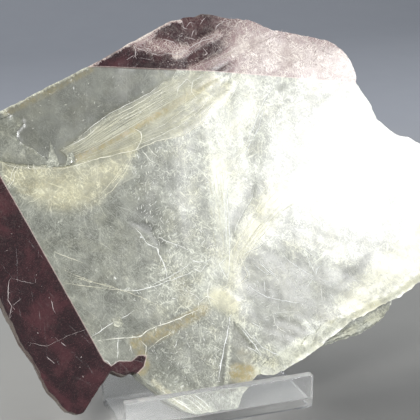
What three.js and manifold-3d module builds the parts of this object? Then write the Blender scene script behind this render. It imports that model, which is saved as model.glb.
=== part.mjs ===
// Bicoloured mica crystal standing on a clear acrylic display easel.
// Millimetres, +Z up, X along the easel's lip, +Y to the back. The origin is the middle of
// the whole object's footprint, on the table.
import * as THREE from 'three';
import { mergeVertices } from 'three/addons/utils/BufferGeometryUtils.js';
import Module from 'manifold-3d';

const wasm = await Module();
wasm.setup();

// ---- Driving dimensions ----

const SHEET = 2.5;               // thickness of the acrylic sheet
const EASEL_WIDTH = 50;
const LIP_HEIGHT = 9.8;
const LEDGE_DEPTH = 19.5;        // from the middle of the lip to the middle of the backrest's foot
const BACKREST_LENGTH = 64.8;
const BACKREST_LEAN = THREE.MathUtils.degToRad(18);
const LEG_LEAN = THREE.MathUtils.degToRad(19);
const BEND_INSIDE = 0.6;         // inside and outside radius of the two bends on the table
const BEND_OUTSIDE = 2.2;
const CREST_INSIDE = 1.5;        // inside radius of the bend over the top
const EDGE_POLISH = 0.35;        // round of the flame-polished edges

const CLEARANCE = 0.3;           // gap between the crystal and the sheet that it rests on
const BOOK_THICKNESS = 5;        // the crystal across its cleavage
const WINDOW_DEPTH = 0.6;        // how far sheets have come away from the upper left corner
const FOOT_REACH = 20;           // how far the block that flattens the foot reaches round it

const BEND_STEPS = 8;            // curve steps round every bend

// ---- The easel: one sheet, bent into lip, ledge, backrest and leg ----

// Unit vector from one point of a path to the next.
function heading(from, to) {
  return to.clone().sub(from).normalize();
}

// Unit vector to the left of a direction.
function leftOf(direction) {
  return new THREE.Vector2(-direction.y, direction.x);
}

// The path moved sideways by `distance` to its left, with mitred corners and a last
// point that slides along the last stretch until it is level with the path's end.
function parallelPath(path, distance) {
  const last = path.length - 1;
  return path.map((point, i) => {
    if (i === 0) {
      return point.clone().addScaledVector(leftOf(heading(point, path[1])), distance);
    }
    const arriving = heading(path[i - 1], point);
    const side = leftOf(arriving);
    if (i === last) {
      const level = -side.y * distance / arriving.y;
      return point.clone().addScaledVector(side, distance).addScaledVector(arriving, level);
    }
    const leaving = heading(point, path[i + 1]);
    const mitre = side.clone().add(leftOf(leaving));
    return point.clone().addScaledVector(mitre, distance / (1 + arriving.dot(leaving)));
  });
}

// Goes straight to a corner and round it with an arc of the given radius.
function roundCorner(shape, before, corner, after, radius) {
  const arriving = heading(before, corner);
  const leaving = heading(corner, after);
  const turn = Math.atan2(arriving.cross(leaving), arriving.dot(leaving));
  const hand = Math.sign(turn);
  const tangent = radius * Math.tan(Math.abs(turn) / 2);
  const normal = leftOf(arriving).multiplyScalar(hand);
  const centre = corner.clone().addScaledVector(arriving, -tangent).addScaledVector(normal, radius);
  const start = Math.atan2(-normal.y, -normal.x);
  shape.absarc(centre.x, centre.y, radius, start, start + turn, hand < 0);
}

// Follows one face of the sheet, rounding every bend with its own radius.
function followFace(shape, corners, radii) {
  shape.lineTo(corners[0].x, corners[0].y);
  radii.forEach((radius, i) => {
    roundCorner(shape, corners[i], corners[i + 1], corners[i + 2], radius);
  });
  shape.lineTo(corners.at(-1).x, corners.at(-1).y);
}

// Middle line of the sheet, seen from the side: (y, z) from the top of the lip to the foot.
const middle = SHEET / 2;
const backrestFoot = new THREE.Vector2(middle + LEDGE_DEPTH, middle);
const crest = new THREE.Vector2(Math.sin(BACKREST_LEAN), Math.cos(BACKREST_LEAN))
  .multiplyScalar(BACKREST_LENGTH)
  .add(backrestFoot);
const sheetPath = [
  new THREE.Vector2(middle, LIP_HEIGHT),
  new THREE.Vector2(middle, middle),
  backrestFoot,
  crest,
  new THREE.Vector2(crest.x + crest.y * Math.tan(LEG_LEAN), 0),
];

function easelProfile() {
  const crestOutside = CREST_INSIDE + SHEET;
  const front = parallelPath(sheetPath, middle);
  const back = parallelPath(sheetPath, -middle);
  const frontRadii = [BEND_INSIDE, BEND_INSIDE, crestOutside];
  const backRadii = [BEND_OUTSIDE, BEND_OUTSIDE, CREST_INSIDE];
  const shape = new THREE.Shape();
  shape.moveTo(front[0].x, front[0].y);
  followFace(shape, front, frontRadii);
  followFace(shape, back.reverse(), backRadii.reverse());
  return shape;
}

function buildEasel() {
  const geometry = new THREE.ExtrudeGeometry(easelProfile(), {
    depth: EASEL_WIDTH - 2 * EDGE_POLISH,
    curveSegments: BEND_STEPS,
    bevelThickness: EDGE_POLISH,
    bevelSize: EDGE_POLISH,
    bevelOffset: -EDGE_POLISH,
    bevelSegments: 2,
  });
  geometry.translate(0, 0, EDGE_POLISH - EASEL_WIDTH / 2);
  // The profile's own axes become Y and Z, and the extrusion runs along X.
  geometry.applyMatrix4(new THREE.Matrix4().makeBasis(
    new THREE.Vector3(0, 1, 0),
    new THREE.Vector3(0, 0, 1),
    new THREE.Vector3(1, 0, 0),
  ));
  const acrylic = new THREE.MeshStandardMaterial({
    color: 0xe6ecee,
    roughness: 0.05,
    metalness: 0,
    transparent: true,
    opacity: 0.35,
  });
  const easel = new THREE.Mesh(geometry, acrylic);
  easel.name = 'display_easel';
  return easel;
}

// ---- How the crystal leans: its foot in the corner of the lip, its back on the crest ----

const footing = new THREE.Vector2(SHEET + CLEARANCE, SHEET + CLEARANCE);

// Lean from upright of the crystal's front face: the face passes through the footing and
// stays one thickness, one gap and the crest's outside radius away from the crest's centre.
function crystalLean() {
  const outside = CREST_INSIDE + SHEET;
  const halfApex = (BACKREST_LEAN + LEG_LEAN) / 2;
  const bisector = (LEG_LEAN - BACKREST_LEAN) / 2;
  const toCentre = (CREST_INSIDE + middle) / Math.sin(halfApex);
  const centre = new THREE.Vector2(Math.sin(bisector), -Math.cos(bisector))
    .multiplyScalar(toCentre)
    .add(crest);
  const reach = centre.sub(footing);
  return Math.atan2(reach.x, reach.y)
    - Math.asin((BOOK_THICKNESS + CLEARANCE + outside) / reach.length());
}

// ---- The crystal: one book of mica sheets, split and stepped round its rim ----

// Outline in the plane of the cleavage: x along the lip, y up the face from the foot.
// Straight growth faces are single points; broken, rounded stretches are curves.
const FACES_UPPER_LEFT = [[-65.6, 70.5], [-63.6, 74.4], [-42.9, 83], [-18.3, 93], [1, 101.7]];
const CROWN = [[4.8, 103.1], [10.5, 104], [17, 103.8], [26.5, 101.4], [33.2, 98.7], [41, 96.7]];
const SHOULDER = [[47.3, 94.9], [52.6, 91.1], [55.1, 85.2]];
const BROKEN_RIGHT = [[54.4, 81.6], [57.3, 76.5], [58.8, 71.3], [63.1, 66.9], [70.1, 63.4]];
const RIGHT_END = [[75.8, 59.6], [79, 55.2], [80.6, 49.8], [79.4, 45.5], [79.9, 41.2], [75.2, 35.6]];
const RIM_LOWER_RIGHT = [[71.6, 31], [62.3, 24.9], [53.9, 20.6], [39.6, 15.2], [24.2, 9.4], [15.5, 7.3]];
const FOOT = [[12.1, 7.2], [7.3, 3.3], [5.2, 0], [-6.6, 0], [-8.7, 0.9], [-14.1, 5]];
const GAP_BY_THE_STRIP = [[-18.9, 10.9], [-20.2, 12.4], [-22.4, 11.7], [-25.8, 13.4]];
const STRIP_TIP = [[-33.1, 5.6], [-35.8, 4.3], [-38.2, 5.4], [-42.9, 12.2]];
const STRIP_EDGE = [[-45, 18.7], [-49.6, 30.2], [-50.9, 34.8]];

// Edge of the sheets that have come away above and left of it, and the corner they left.
const WINDOW_EDGE = [[-34.4, 69], [-26.4, 72.7], [-16.1, 79.2], [-4.6, 83.8], [3, 87.6]];
const WINDOW_TOP = [[8, 112], [-52, 96]];
const WINDOW_LEFT = [[-39.1, 79.6], [-41, 75.1], [-37.4, 71.9]];

// Every book from the back to the front: where it starts and ends across the cleavage,
// and how far its rim stands back from the outline at most.
const BOOKS = [
  { from: -BOOK_THICKNESS, to: -3.1, setback: 0 },
  { from: -3.3, to: -1.8, setback: 0.9 },
  { from: -2, to: -0.9, setback: 1.6 },
  { from: -1.1, to: 0, setback: 2.4 },
];
const RIM_WAVES = 5;             // how often a book's rim swings in and out round the crystal
const CENTRE = new THREE.Vector2(6, 51);

function toPoints(pairs) {
  return pairs.map(([x, y]) => new THREE.Vector2(x, y));
}

// The round stretches as smooth curves, the growth faces as straight lines.
function crystalOutline() {
  const curve = (pairs, steps) => new THREE.SplineCurve(toPoints(pairs)).getPoints(steps);
  return [
    ...toPoints(FACES_UPPER_LEFT),
    ...curve(CROWN, 10),
    ...curve(SHOULDER, 5),
    ...toPoints(BROKEN_RIGHT),
    ...toPoints(RIGHT_END),
    ...toPoints(RIM_LOWER_RIGHT),
    ...toPoints(FOOT),
    ...toPoints(GAP_BY_THE_STRIP),
    ...toPoints(STRIP_TIP),
    ...toPoints(STRIP_EDGE),
  ];
}

// A book's rim: the outline pulled towards the middle by an amount that swings round it.
function bookRim(outline, setback, turn) {
  return outline.map((point) => {
    const inward = CENTRE.clone().sub(point);
    const swing = (1 + Math.sin(RIM_WAVES * inward.angle() + turn)) / 2;
    return point.clone().addScaledVector(inward.normalize(), setback * swing);
  });
}

function slab(points, from, to) {
  const geometry = new THREE.ExtrudeGeometry(new THREE.Shape(points), {
    depth: to - from,
    bevelEnabled: false,
  });
  return geometry.translate(0, 0, from);
}

// A closed geometry as a solid that can be joined and cut.
function solidOf(geometry) {
  geometry.deleteAttribute('normal');
  geometry.deleteAttribute('uv');
  const merged = mergeVertices(geometry);
  return new wasm.Manifold(new wasm.Mesh({
    numProp: 3,
    vertProperties: new Float32Array(merged.attributes.position.array),
    triVerts: new Uint32Array(merged.index.array),
  }));
}

function geometryOf(solid) {
  const mesh = solid.getMesh();
  const geometry = new THREE.BufferGeometry();
  geometry.setAttribute('position', new THREE.BufferAttribute(mesh.vertProperties, 3));
  geometry.setIndex(new THREE.BufferAttribute(mesh.triVerts, 1));
  geometry.computeVertexNormals();
  return geometry;
}

// Everything of the leaning crystal that would be below the ledge's top.
function belowTheLedge(lean) {
  const size = 2 * FOOT_REACH;
  const block = new THREE.BoxGeometry(size, size, size);
  block.translate(0, 0, -size / 2);
  return block.applyMatrix4(new THREE.Matrix4().makeRotationX(lean - Math.PI / 2));
}

function buildCrystal() {
  const lean = crystalLean();
  const outline = crystalOutline();
  const books = BOOKS.map(({ from, to, setback }) => (
    solidOf(slab(bookRim(outline, setback, from), from, to))
  ));
  const stack = books.reduce((joined, book) => joined.add(book));
  const windowPoints = toPoints([...WINDOW_EDGE, ...WINDOW_TOP, ...WINDOW_LEFT]);
  const peeled = solidOf(slab(windowPoints, -WINDOW_DEPTH, WINDOW_DEPTH));
  const crystal = stack.subtract(peeled).subtract(solidOf(belowTheLedge(lean)));
  const mica = new THREE.MeshStandardMaterial({
    color: 0xa9aba3,
    roughness: 0.3,
    metalness: 0,
  });
  const mesh = new THREE.Mesh(geometryOf(crystal), mica);
  mesh.name = 'mica_crystal';
  mesh.rotation.x = Math.PI / 2 - lean;
  mesh.position.set(0, footing.x, footing.y);
  return mesh;
}

// ---- The whole object, moved so that its footprint is centred on the origin ----

const object = new THREE.Group();
object.add(buildEasel(), buildCrystal());
object.updateMatrixWorld(true);
const box = new THREE.Box3().setFromObject(object, true);
const centre = box.getCenter(new THREE.Vector3());
object.position.set(-centre.x, -centre.y, -box.min.z);

export default object;
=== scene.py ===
"""Looks of a bicoloured mica crystal standing on its clear acrylic display easel.

The crystal's own tables are in millimetres in the plane of its cleavage: u runs along the
easel's lip, v up the face from the foot, and w out of the face. The rest is in metres."""

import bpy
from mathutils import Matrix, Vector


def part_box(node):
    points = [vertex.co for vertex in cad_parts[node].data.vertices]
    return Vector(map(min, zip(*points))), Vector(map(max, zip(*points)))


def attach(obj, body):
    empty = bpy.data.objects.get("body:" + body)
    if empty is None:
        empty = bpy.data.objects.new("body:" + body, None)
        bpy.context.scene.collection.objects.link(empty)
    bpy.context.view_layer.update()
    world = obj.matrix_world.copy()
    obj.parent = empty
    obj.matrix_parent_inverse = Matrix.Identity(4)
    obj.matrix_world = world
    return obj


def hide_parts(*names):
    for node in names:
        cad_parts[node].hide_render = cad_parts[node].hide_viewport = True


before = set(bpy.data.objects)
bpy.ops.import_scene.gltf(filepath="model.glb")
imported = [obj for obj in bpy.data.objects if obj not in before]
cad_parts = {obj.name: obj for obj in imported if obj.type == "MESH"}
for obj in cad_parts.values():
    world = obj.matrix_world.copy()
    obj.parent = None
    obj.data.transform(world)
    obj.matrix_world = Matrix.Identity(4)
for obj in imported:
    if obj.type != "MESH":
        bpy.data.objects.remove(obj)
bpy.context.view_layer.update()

from math import atan2, cos, pi, radians, sin, tan, tau

import bmesh
import bpy
import numpy as np
from mathutils import Vector
from mathutils.geometry import delaunay_2d_cdt

MM = 0.001

# ---------------------------------------------------------------------------
# The frame that everything is placed in
# ---------------------------------------------------------------------------

SHEET = 2.5            # thickness of the acrylic, mm
CLEARANCE = 0.3        # gap between the crystal and the acrylic, mm
THICKNESS = 5.0        # the crystal across its cleavage, mm

easel_low, easel_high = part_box("display_easel")
LIP = Vector(((easel_low.x + easel_high.x) / 2, easel_low.y, easel_low.z))
FOOTING = LIP + Vector((0, 1, 1)) * (SHEET + CLEARANCE) * MM


def cleavage_normal():
    """Which way the crystal's front face looks, from the CAD solid."""
    total = Vector()
    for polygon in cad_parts["mica_crystal"].data.polygons:
        if polygon.normal.y < -0.7:
            total += polygon.normal * polygon.area
    return total.normalized()


W_AXIS = cleavage_normal()
U_AXIS = Vector((1, 0, 0))
V_AXIS = W_AXIS.cross(U_AXIS)
LEAN = atan2(V_AXIS.y, V_AXIS.z)
PLATE_AXES = np.array([U_AXIS, V_AXIS, W_AXIS])


def placed(name, data):
    """An object made from the data, in the scene."""
    thing = bpy.data.objects.new(name, data)
    bpy.context.scene.collection.objects.link(thing)
    return thing


def to_world(uvw):
    """Metres from (u, v, w) rows in millimetres."""
    return np.array(FOOTING) + np.asarray(uvw, float) @ PLATE_AXES * MM


# ---------------------------------------------------------------------------
# Curves and noise in the plane of the cleavage
# ---------------------------------------------------------------------------

def smooth_curve(points, steps=8):
    """Catmull-Rom curve through the points."""
    p = np.array([points[0], *points, points[-1]], float)
    t = np.linspace(0, 1, steps, endpoint=False)[:, None]
    pieces = []
    for a, b, c, d in zip(p, p[1:], p[2:], p[3:]):
        pieces.append(0.5 * (2 * b + (c - a) * t + (2 * a - 5 * b + 4 * c - d) * t ** 2
                             + (3 * b - a - 3 * c + d) * t ** 3))
    return np.vstack([*pieces, p[-1:]])


def resample(points, step, closed=False):
    """The same line with points every `step`, and how far along each one is."""
    p = np.asarray(points, float)
    if closed:
        p = np.vstack([p, p[:1]])
    length = np.concatenate([[0], np.cumsum(np.hypot(*np.diff(p, axis=0).T))])
    count = max(2, round(length[-1] / step) + (0 if closed else 1))
    at = np.linspace(0, length[-1], count, endpoint=not closed)
    return np.column_stack([np.interp(at, length, p[:, 0]), np.interp(at, length, p[:, 1])]), at


def side_normals(points, closed=False):
    """Unit normals to the left of a line."""
    if closed:
        run = np.roll(points, -1, 0) - np.roll(points, 1, 0)
    else:
        run = np.gradient(points, axis=0)
    run /= np.maximum(np.hypot(*run.T), 1e-9)[:, None]
    return np.column_stack([-run[:, 1], run[:, 0]])


def wander(at, pitch, seed, loop=None):
    """Random values from -1 to 1, a new one every `pitch`, joined by straight runs."""
    rng = np.random.default_rng(seed)
    knots = int((loop or at[-1]) / pitch) + 2
    values = rng.uniform(-1, 1, knots)
    if loop:
        values[-1] = values[0]
        return np.interp(at, np.linspace(0, loop, knots), values)
    return np.interp(at, np.arange(knots) * pitch, values)


def swell(u, v, pitch, seed, waves=9):
    """Smooth random relief, about -1 to 1, with waves about `pitch` long."""
    rng = np.random.default_rng(seed)
    total = np.zeros_like(u)
    for angle, phase, stretch in zip(rng.uniform(0, pi, waves), rng.uniform(0, tau, waves),
                                     rng.uniform(0.6, 1.5, waves)):
        total += np.cos((u * cos(angle) + v * sin(angle)) * tau / (pitch * stretch) + phase)
    return total * np.sqrt(2 / waves) / 1.6


def ease(value, low, high):
    """0 below low, 1 above high, and smooth between."""
    t = np.clip((value - low) / (high - low), 0, 1)
    return t * t * (3 - 2 * t)


def line_distance(u, v, line):
    """Distance to a line of points, and how far along it the nearest spot is, 0 to 1."""
    p = np.asarray(line, float)
    best = np.full(u.shape, 1e9)
    along = np.zeros_like(u)
    runs = np.hypot(*np.diff(p, axis=0).T)
    before = np.concatenate([[0], np.cumsum(runs)])
    for i, ((au, av), (bu, bv)) in enumerate(zip(p, p[1:])):
        du, dv = bu - au, bv - av
        t = np.clip(((u - au) * du + (v - av) * dv) / (du * du + dv * dv + 1e-12), 0, 1)
        gap = np.hypot(u - au - t * du, v - av - t * dv)
        nearer = gap < best
        best = np.where(nearer, gap, best)
        along = np.where(nearer, (before[i] + t * runs[i]) / before[-1], along)
    return best, along


def inside_distance(u, v, outline):
    """Distance to a closed outline, positive inside it."""
    p = np.vstack([outline, outline[:1]])
    gap, _ = line_distance(u, v, p)
    inside = np.zeros(u.shape, bool)
    for (au, av), (bu, bv) in zip(p, p[1:]):
        if av == bv:
            continue
        crosses = (av > v) != (bv > v)
        inside ^= crosses & (u < (bu - au) * (v - av) / (bv - av) + au)
    return np.where(inside, gap, -gap)


# ---------------------------------------------------------------------------
# The crystal's outline
# ---------------------------------------------------------------------------

# Each stretch: its points, whether it is a curve, and how ragged its edge is, mm.
OUTLINE_STRETCHES = [
    ([(-65.6, 70.5), (-63.6, 74.4), (-42.9, 83), (-30, 88.2), (-18.3, 93), (-8.2, 97.5), (1, 101.7)],
     False, 0.10),
    ([(4.8, 103.1), (10.5, 104), (17, 103.8), (26.5, 101.4), (33.2, 98.7), (41, 96.7), (47.3, 94.9)],
     True, 0.22),
    ([(50.6, 93), (52.7, 91), (54.3, 88.3), (55.1, 85.2), (55, 83)], True, 0.15),
    ([(54.4, 81.6), (57.3, 76.5), (58.8, 71.3), (61.3, 68.5), (63.1, 66.9), (66.8, 65.4), (70.1, 63.4)],
     False, 0.16),
    ([(75.8, 59.6), (79, 55.2), (80.6, 49.8), (79.4, 45.5), (79.9, 41.2), (75.2, 35.6), (71.6, 31)],
     False, 0.30),
    ([(62.3, 25), (59.8, 23.6), (54.4, 21.5), (47.9, 19.3), (42, 17.8), (37.9, 16.4), (34.1, 14.7),
      (30.3, 12.6), (26.5, 10.4), (21.7, 8.4), (16.4, 7.1)], False, 0.22),
    ([(12.1, 7.2), (9.5, 5), (7.3, 3.3), (5.2, 0), (-6.6, 0), (-8.7, 0.9), (-14.1, 5), (-16.7, 8.4)],
     False, 0.12),
    ([(-18.9, 10.9), (-20.2, 12.4), (-22.4, 11.7), (-24.4, 12.5), (-25.8, 13.4)], True, 0.05),
    ([(-29.5, 9.5), (-33.1, 5.6), (-34, 4.5), (-35.8, 4.3), (-38.2, 5.4), (-39.9, 7.4)], False, 0.10),
    ([(-42.9, 12.2), (-45, 18.7), (-47.5, 23.7), (-49.6, 30.2), (-50.9, 34.8)], False, 0.16),
]
RIM_STEP = 0.5         # spacing of the points round the rim, mm


def crystal_rim():
    """Points round the crystal, clockwise seen from the front, and how ragged each is."""
    line, ragged = [], []
    for points, curved, jag in OUTLINE_STRETCHES:
        stretch = smooth_curve(points) if curved else np.array(points, float)
        line.append(stretch)
        ragged += [jag] * len(stretch)
    line = np.vstack(line)
    rim, at = resample(line, RIM_STEP, closed=True)
    perimeter = at[-1] + RIM_STEP
    length = np.concatenate([[0], np.cumsum(np.hypot(*np.diff(line, axis=0).T))])
    jag = np.interp(at, length, ragged)
    chips = wander(at, 2.3, 11, perimeter) + 0.8 * wander(at, 0.9, 12, perimeter)
    return rim + side_normals(rim, True) * (chips * jag)[:, None]


RIM = crystal_rim()

# ---------------------------------------------------------------------------
# What the face shows: growth zones, sheets that have come away, stains and veils
# ---------------------------------------------------------------------------

# The inner edges of the two purple growth zones and the lobe at the strip's foot.
TOP_ZONE_EDGE = [(-20, 92.1), (14, 88.1), (54.4, 81.8), (60, 80.9)]
STRIP_ZONE_EDGE = [(-60, 100.5), (-46.6, 65.8), (-36.4, 40.1), (-27.3, 16.4), (-25.6, 15)]
LOBE = [(-25.6, 15), (-23.9, 15.9), (-20.3, 15.4), (-18.4, 16.6), (-16.2, 16.3), (-17.4, 13.6),
        (-19.6, 12), (-19.8, 8), (-27, 8)]
TOP_ZONE = TOP_ZONE_EDGE + [(60, 120), (-20, 120)]
STRIP_ZONE = STRIP_ZONE_EDGE + [(-25.6, 0), (-90, 0), (-90, 100.5)]

# Edges of torn sheets and cracks that several shapes share, from the top down.
VEIL_TEAR = [(-41.5, 80.6), (-39.1, 79.6), (-38.8, 78.2), (-40.8, 76.6), (-41, 75.1), (-40, 73.4),
             (-38.6, 72.3), (-37.4, 71.9), (-35.8, 70.2), (-34.4, 69)]
RIDGE_1 = [(-30.6, 70.7), (-26.4, 72.7), (-22, 75.7), (-16.1, 79.2), (-10.4, 81.3), (-4.6, 83.8),
           (-0.1, 86.4), (1.9, 86.8)]
RIDGE_2 = [(-46.1, 69.6), (-41.8, 67.7), (-36.3, 66.9), (-30, 66), (-26, 66.6), (-20.6, 67.7),
           (-11.9, 68.7), (-5.4, 70.5), (3, 71.8), (7.6, 74.1), (14.6, 79.2), (19, 84)]
RIDGE_3 = [(-10.4, 74.7), (-8.7, 73.4), (-8.7, 71.8), (-9.8, 69.8), (-11.4, 68.4)]
RIDGE_4 = [(-11.4, 68.4), (-12.9, 65.3), (-15.6, 61.9), (-18.7, 59.1), (-22.2, 56.9), (-26.4, 55)]
RIDGE_5 = [(-14.5, 49.1), (-13.1, 47.3), (-11.8, 44.4), (-9.2, 42.9), (-8.9, 41.2), (-7.9, 38.3),
           (-7.7, 34.4)]
RIDGE_6 = [(-28.9, 21.7), (-22.4, 21.5), (-17.3, 21.1), (-14.4, 22.7), (-6.1, 24.4), (-1.1, 25.8),
           (-0.2, 27.8)]
OCHRE_EDGE = [(-27.9, 67.8), (-20.2, 70.3), (-10.1, 74.6), (-1.3, 78.7), (6.1, 82.1), (13.8, 85.7)]
SPINE = [(12.9, 62.5), (11.8, 53.2), (10.6, 42.7), (9, 35), (7.3, 30)]
LOWER_RIM = [(12.3, 7.6), (16.4, 7.3), (26.5, 10.8), (34.1, 15.1), (42, 18.2), (54.4, 21.9), (62.4, 25.3),
             (72, 31.5), (80, 42)]

# Each patch: outline, rise of its surface, softness of its edge (mm), then how much haze,
# stain, clearness and cream it adds.
PATCHES = [
    # The clear, smooth window at the upper left, where the front sheets have come away.
    ([(-46, 86), *VEIL_TEAR, (-32.6, 66.9), (-28.5, 66.6), (-27.9, 67.8), *RIDGE_1,
      (3.6, 89.3), (-18.5, 91.9), (-20, 94)], -0.35, 0.15, 0.0, 0, 1, 0),
    # The striated sheet under the first ridge.
    ([*RIDGE_1, (8, 88.3), (14, 87.9), *OCHRE_EDGE[::-1]], 0.04, 1.0, 0.10, 0.10, 0.3, 0.7),
    # The lens between the ochre edge and the second ridge.
    ([*OCHRE_EDGE[:3], *RIDGE_3[1:], (-20.6, 67.7), (-26, 66.6)], -0.04, 0.8, 0.28, 0.20, 0.1, 0.8),
    # The pale tongue that runs up from the third ridge.
    ([*RIDGE_3[1:4], *RIDGE_2[7:], *OCHRE_EDGE[:2:-1]], 0.05, 0.8, 0.14, 0.08, 0.1, 0.7),
    # The thin white veil left of the window.
    ([(-62, 75), (-41.5, 81), *VEIL_TEAR, (-32, 67.2), (-27, 66.7), *RIDGE_2[3::-1], (-64, 70)],
     -0.22, 0.2, 0.04, 0.02, 0.4, 0),
    # The beige sheet under the second ridge.
    ([*RIDGE_2[:7], *RIDGE_4[1:], (-32.4, 55.1), (-37.7, 57.2), (-42.7, 61.1), (-46, 66.5)],
     0.04, 2.6, 0.42, 0.20, 0.0, 0.8),
    # Small dark places above the crack in the middle.
    ([(-15, 52.8), (-12, 54.7), (-8.9, 57), (-6.6, 57.6), (-7.2, 52.7), (-5.4, 49.9), (-9.8, 51.2)],
     -0.02, 1.0, -0.14, 0, 0.4, 0),
    ([(-15, 50.2), (-11.1, 50.1), (-8.8, 48.9), (-9.8, 46.3), (-12.4, 47.8)],
     -0.03, 0.6, -0.22, 0, 0.8, 0),
    ([(-10.4, 46.5), (-7.2, 46), (-6.4, 42.6), (-9, 43.2)], -0.03, 0.7, -0.15, 0, 0.6, 0),
    # The dark facet under the creamy knot.
    ([(7.4, 23.2), (3.2, 12.6), (0.4, 3.6), (9.3, 5.5), (12, 9), (12.6, 14), (9.6, 19)],
     -0.05, 0.8, -0.18, 0.05, 0.5, 0),
    # The grey facets of the lower right.
    ([(12.5, 37), (19, 39.5), (26, 36), (33, 33), (43, 31), (46, 26), (36, 17.5), (25, 12.8), (14, 20),
      (11.5, 28)], -0.05, 3.0, -0.20, 0, 0.2, 0),
    # Darker, smoother places among them.
    ([(20.6, 21.2), (25.4, 19.3), (26.9, 16.6), (22.4, 14), (19.5, 12.9), (18.4, 14.6), (15.3, 15.6),
      (15.9, 19.3)], -0.03, 1.4, -0.16, 0.06, 0.5, 0),
    ([(11.9, 30.5), (16.6, 27.1), (21.3, 24.9), (21.9, 28), (18.6, 30.3), (14.1, 31.8)],
     -0.02, 1.6, -0.14, 0.03, 0.3, 0),
    # The creamy knot and the sheaf of sheets that runs up from it.
    ([(1.7, 29.4), (4.7, 30.8), (7.7, 29.9), (10.5, 26.8), (9.5, 23.9), (6.8, 23.8), (2.8, 26.4)],
     0.08, 1.3, 0.5, 0.10, 0, 0.9),
    ([(7.6, 30), (11, 31), (13.4, 37), (18, 40.6), (24, 46), (31, 54), (28, 56.5), (21, 52.5),
      (15.6, 47.5), (11.8, 43), (9.4, 38)], 0.03, 2.4, 0.26, 0.06, 0, 0.6),
    # The grey lens between the spine and the sheaf.
    ([(10.7, 45), (12.2, 49.4), (14.2, 52.4), (16.8, 55.2), (20.4, 57), (19, 53.2), (16.2, 49.8),
      (13.6, 46.8), (11.4, 42.4)], -0.03, 1.0, -0.22, 0, 0.3, 0),
]

# Each stain: line, half width (mm), stain, haze.
STAINS = [
    (OCHRE_EDGE[:4], 1.1, 0.75, 0),
    (OCHRE_EDGE[2:], 1.5, 0.45, 0.1),
    ([(-28.5, 66), (-38, 66.3)], 0.8, 0.35, 0.1),
    ([(-18.9, 19.8), (-17.5, 17), (-17, 14), (-18.3, 12.4)], 1.5, 0.75, 0),
    ([(-18.5, 19.8), (-12, 21.1), (-5, 23.6), (0.7, 25.8)], 1.9, 0.7, 0),
    ([(6.9, 8.5), (9.3, 8.3)], 2.9, 1.0, 0.25),
    ([(9, 13.4), (10.6, 12)], 2.0, 0.30, 0.25),
    ([(-15.5, 9.5), (-12, 5.6), (-9, 2.6)], 0.9, 0.45, 0.3),
    ([(-43, 81.6), (-30, 86.6), (-19, 91.4)], 1.0, 0.45, 0.05),
    ([(-44.3, 64.3), (-40.7, 62.7), (-35.7, 62.1), (-31.7, 63)], 1.3, 0.32, 0),
    ([(-42.2, 61.5), (-36.1, 59.4), (-29.8, 58.7)], 1.2, 0.28, 0),
    ([(-24, 56.5), (-31, 56.2), (-36, 58)], 1.4, 0.22, 0),
    ([(33, 18), (44, 23)], 4.0, 0.10, 0.15),
    ([(-3, 29), (-5, 34)], 2.5, 0.22, 0.0),
]

# Each frosted stretch: line, half width (mm), haze, cream.
FROSTS = [
    ([(-64.4, 72.6), (-63.4, 74.4), (-42.9, 83), (-30, 88.2), (-19, 92.8)], 0.5, 0.75, 0.2),
    ([(-19, 92.8), (-11.3, 96.2), (-4, 99.3), (3.8, 103), (6.5, 103.2)], 0.65, 0.9, 0),
    ([(-6, 96.8), (-1.5, 96.3), (2.5, 95.8), (6, 94.4)], 2.2, 0.24, 0),
    ([(-5.6, 98), (-1.6, 99.6)], 1.2, 0.35, 0),
    ([(4.1, 93.1), (7.5, 94.4), (12, 96.4), (15, 97.3), (17, 98.3)], 1.3, 0.18, 0),
    ([(10.9, 62.5), (9.8, 53.2), (8.6, 42.7), (7.5, 36)], 2.6, 0.30, 0),
    ([(13, 56), (14, 70), (22, 84)], 6.0, 0.30, 0.1),
    (LOWER_RIM, 2.0, 0.75, 0.25),
    ([(44, 22), (58, 31), (70, 38)], 7.0, 0.35, 0.7),
    ([(8, 89), (15, 90.6), (24, 94.4)], 1.5, 0.25, 0.5),
    ([(16, 8.6), (19.9, 11.2), (25.1, 13.4), (29.2, 13.9), (32.1, 15.2), (38, 18)], 1.7, 0.5, 0.1),
    ([(30.1, 15.2), (28.7, 17), (27.5, 18.6)], 1.0, 0.5, 0),
    ([(41.5, 29.7), (42.6, 30.2)], 1.7, -0.25, 0),
    ([(45.4, 30.8), (46.6, 31.8), (48.4, 33.6)], 2.0, -0.25, 0),
    ([(14.9, 37), (16, 37.3)], 1.2, -0.3, 0),
    ([(13.2, 34.8), (13.2, 32.4)], 1.0, -0.25, 0),
    ([(10.5, 20), (7.8, 23.4), (3, 5)], 0.5, 0.35, 0),
    ([(24, 94), (38, 90), (52, 86)], 6.0, 0.22, 0.3),
]


ZONE_SOFT = 0.2        # half the width over which a growth zone's haze changes, mm
# Haze from 0, clear, to 1, white: where it starts, and how much it gains along the region.
BODY_HAZE, BODY_HAZE_GAIN = 0.20, 0.24
STRIP_HAZE, STRIP_HAZE_GAIN = 0.02, 0.06
LOBE_HAZE = 0.08
TOP_HAZE, TOP_HAZE_NEAR, TOP_HAZE_FAR = 0.04, 0.12, 0.28
KNOT_HAZE = 0.20       # round the middle, where the cracks meet


def zone_distance(u, v):
    """Millimetres into the purple growth zones, negative outside them."""
    depth = [inside_distance(u, v, np.array(shape)) for shape in (TOP_ZONE, STRIP_ZONE, LOBE)]
    return np.max(depth, axis=0)


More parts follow.
